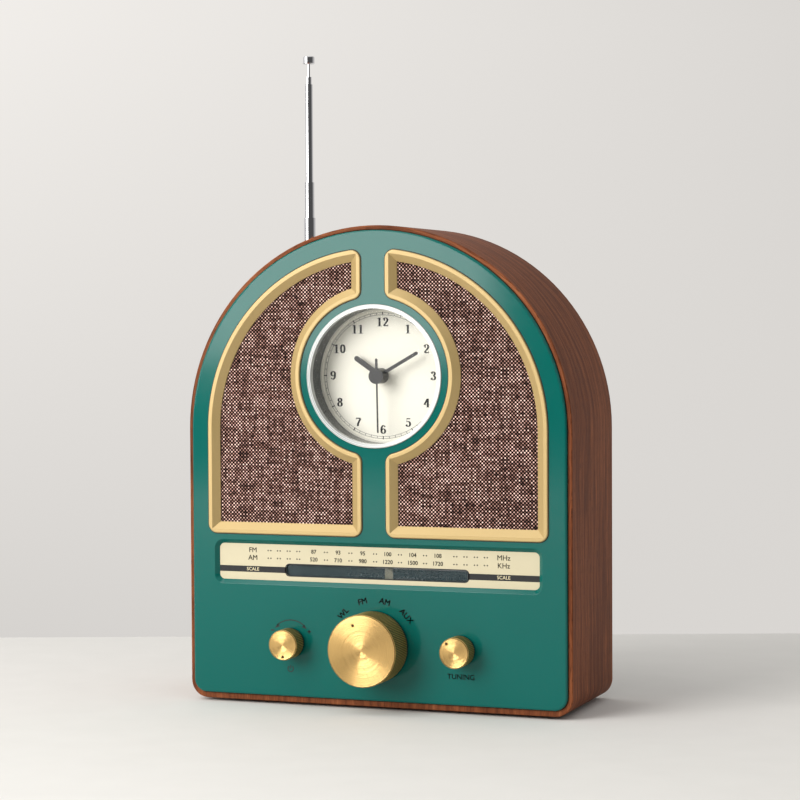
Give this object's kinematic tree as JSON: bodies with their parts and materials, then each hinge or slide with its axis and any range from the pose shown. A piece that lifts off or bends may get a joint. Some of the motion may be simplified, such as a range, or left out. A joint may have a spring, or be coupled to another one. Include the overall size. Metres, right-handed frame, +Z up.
{
  "type": "clock radio",
  "caption": "Arch-top table radio with a round analogue clock, cloth speaker grilles, a tuning scale with a sliding pointer, turned control knobs and a telescopic mast.",
  "frame": {"origin": "middle of the bounding box, on the surface that the feet stand on", "axes": "+X to the right seen from the front, +Y towards the back, +Z up"},
  "size_m": [0.22, 0.111, 0.3623],
  "materials": {
    "walnut": "satin veneer",
    "panel_green": "gloss",
    "fibreboard": "matte",
    "scale_cream": "satin print",
    "smoked_clear": "gloss",
    "ring_white": "gloss",
    "lens_clear": "clear",
    "dark_plastic": "satin",
    "dial_white": "satin print",
    "black_plastic": "moulded",
    "hand_black": "satin",
    "pointer_ivory": "satin",
    "steel": "zinc plated",
    "gear_white": "moulded",
    "knob_brass": "spun",
    "board_green": "laminate",
    "socket_black": "moulded",
    "ferrite": "sintered",
    "copper": "enamelled wire",
    "cover_black": "fine texture",
    "screw_black": "black zinc",
    "cell_jacket": "gloss jacket",
    "foot_rubber": "matte",
    "mast_chrome": "polished",
    "frame_gold": "satin gold",
    "grille_fabric": "tweed weave",
    "speaker_steel": "black",
    "cone_paper": "pressed paper"
  },
  "bodies": {
    "cabinet": {"case_shell": "walnut", "front_panel": "panel_green", "baffle_board": "fibreboard", "scale_plate": "scale_cream", "scale_window": "smoked_clear", "clock_bezel": "ring_white", "clock_lens": "lens_clear", "clock_tunnel": "dark_plastic", "clock_dial": "dial_white", "clock_movement": "black_plastic", "pointer_rail": "steel", "rail_brackets": "black_plastic", "tuner_plate": "steel", "tuning_capacitor": "black_plastic", "tuning_bush": "steel", "volume_control": "steel", "selector_switch": "black_plastic", "control_nuts": "steel", "main_board": "board_green", "board_parts": "black_plastic", "dc_jack": "socket_black", "aux_jack": "socket_black", "ferrite_rod": "ferrite", "ferrite_coil": "copper", "rear_cover": "cover_black", "cover_screws": "screw_black", "battery_box": "black_plastic", "aa_cell": "cell_jacket", "feet": "foot_rubber", "antenna_bracket": "black_plastic", "grille_frame_left": "frame_gold", "grille_cloth_left": "grille_fabric", "speaker_frame_left": "speaker_steel", "speaker_cone_left": "cone_paper", "speaker_magnet_left": "ferrite", "grille_frame_right": "frame_gold", "grille_cloth_right": "grille_fabric", "speaker_frame_right": "speaker_steel", "speaker_cone_right": "cone_paper", "speaker_magnet_right": "ferrite"},
    "volume": {"volume_knob": "knob_brass", "volume_shaft": "steel"},
    "selector": {"selector_knob": "knob_brass", "selector_shaft": "steel"},
    "tuning": {"tuning_knob": "knob_brass", "tuning_shaft": "steel"},
    "idler": {"idler_gear": "gear_white"},
    "drum": {"capacitor_gear": "gear_white"},
    "pointer": {"pointer_rack": "pointer_ivory"},
    "minutes": {"minute_hand": "hand_black"},
    "hours": {"hour_hand": "hand_black"},
    "seconds": {"second_hand": "hand_black"},
    "setter": {"clock_set_knob": "black_plastic"},
    "door": {"battery_door": "cover_black"},
    "swivel": {"antenna_swivel": "mast_chrome"},
    "mast": {"antenna_base": "mast_chrome"},
    "mast_2": {"antenna_section_2": "mast_chrome"},
    "mast_3": {"antenna_section_3": "mast_chrome"},
    "mast_4": {"antenna_section_4": "mast_chrome"},
    "mast_tip": {"antenna_rod": "mast_chrome"}
  },
  "joints": [
    {"name": "volume_turn", "type": "hinge", "parent": "cabinet", "child": "volume", "pos_m": [-0.049, -0.0355, 0.0345], "axis": [0, 1, 0], "range_deg": [0, 300]},
    {"name": "selector_turn", "type": "hinge", "parent": "cabinet", "child": "selector", "pos_m": [0, -0.0355, 0.0345], "axis": [0, 1, 0], "range_deg": [-31, 62]},
    {"name": "tuning_turn", "type": "hinge", "parent": "cabinet", "child": "tuning", "pos_m": [0.049, -0.0355, 0.0345], "axis": [0, 1, 0], "range_deg": [-398.38, 282]},
    {"name": "idler_turn", "type": "hinge", "parent": "cabinet", "child": "idler", "pos_m": [0.03493, -0.004, 0.03143], "axis": [0, 1, 0], "range_deg": [-225.62, 318.73]},
    {"name": "drum_turn", "type": "hinge", "parent": "cabinet", "child": "drum", "pos_m": [0.006, -0.004, 0.0451], "axis": [0, 1, 0], "range_deg": [-106.26, 75.22]},
    {"name": "pointer_slide", "type": "slide", "parent": "cabinet", "child": "pointer", "axis": [1, 0, 0], "range_m": [-0.04451, 0.03151]},
    {"name": "minute_turn", "type": "hinge", "parent": "cabinet", "child": "minutes", "pos_m": [0, -0.0211, 0.1798], "axis": [0, 1, 0], "continuous": true},
    {"name": "hour_turn", "type": "hinge", "parent": "cabinet", "child": "hours", "pos_m": [0, -0.0211, 0.1798], "axis": [0, 1, 0], "continuous": true},
    {"name": "second_turn", "type": "hinge", "parent": "cabinet", "child": "seconds", "pos_m": [0, -0.0211, 0.1798], "axis": [0, 1, 0], "continuous": true},
    {"name": "setter_turn", "type": "hinge", "parent": "cabinet", "child": "setter", "pos_m": [0.014, 0.043, 0.1798], "axis": [0, 1, 0], "continuous": true},
    {"name": "door_lift", "type": "slide", "parent": "cabinet", "child": "door", "axis": [0, 1, 0], "range_m": [0, 0.04]},
    {"name": "mast_swivel", "type": "hinge", "parent": "cabinet", "child": "swivel", "pos_m": [-0.073, 0.043, 0.15], "axis": [0, 1, 0], "range_deg": [-90, 90]},
    {"name": "mast_tilt", "type": "hinge", "parent": "swivel", "child": "mast", "pos_m": [-0.073, 0.0515, 0.15], "axis": [-1, 0, 0], "range_deg": [0, 90]},
    {"name": "mast_2_slide", "type": "slide", "parent": "mast", "child": "mast_2", "axis": [0, 0, 1], "range_m": [-0.0202, 0.0715]},
    {"name": "mast_3_slide", "type": "slide", "parent": "mast_2", "child": "mast_3", "axis": [0, 0, 1], "range_m": [-0.0562, 0.0325]},
    {"name": "mast_4_slide", "type": "slide", "parent": "mast_3", "child": "mast_4", "axis": [0, 0, 1], "range_m": [-0.004, 0.0817]},
    {"name": "mast_tip_slide", "type": "slide", "parent": "mast_4", "child": "mast_tip", "axis": [0, 0, 1], "range_m": [-0.0071, 0.0756]}
  ],
  "couplings": [
    {"joint": "idler_turn", "follows": "tuning_turn", "ratio": -0.8},
    {"joint": "drum_turn", "follows": "tuning_turn", "ratio": 0.26667},
    {"joint": "pointer_slide", "follows": "tuning_turn", "m_per_rad": 0.0064},
    {"joint": "minute_turn", "follows": "setter_turn", "ratio": -1},
    {"joint": "hour_turn", "follows": "setter_turn", "ratio": -0.083333}
  ]
}
